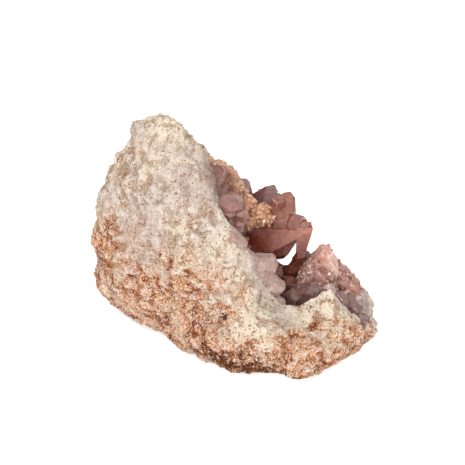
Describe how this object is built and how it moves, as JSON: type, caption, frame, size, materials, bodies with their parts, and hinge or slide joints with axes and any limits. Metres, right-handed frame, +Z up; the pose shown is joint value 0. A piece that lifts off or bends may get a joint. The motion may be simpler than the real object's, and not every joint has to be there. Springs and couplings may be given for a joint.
{
  "type": "pink amethyst geode",
  "caption": "Broken half nodule with a rough pale rind and an open hollow lined with rose-brown quartz crystals, resting on its flat underside.",
  "frame": {"origin": "centre of the bounding box at the flat underside, z = 0 on the resting face", "axes": "+Z up from the resting face, +X towards the open low end of the stone along its longest side, +Y away from the broad outer face towards the back"},
  "size_m": [0.1026, 0.0744, 0.0852],
  "materials": {
    "rind": "rough chalky quartz and chalcedony with iron stain in its pits",
    "crystal_crust": "translucent rose-brown crystal faces"
  },
  "bodies": {
    "root": {"rind": "rind", "crystal_crust": "crystal_crust"}
  },
  "joints": []
}
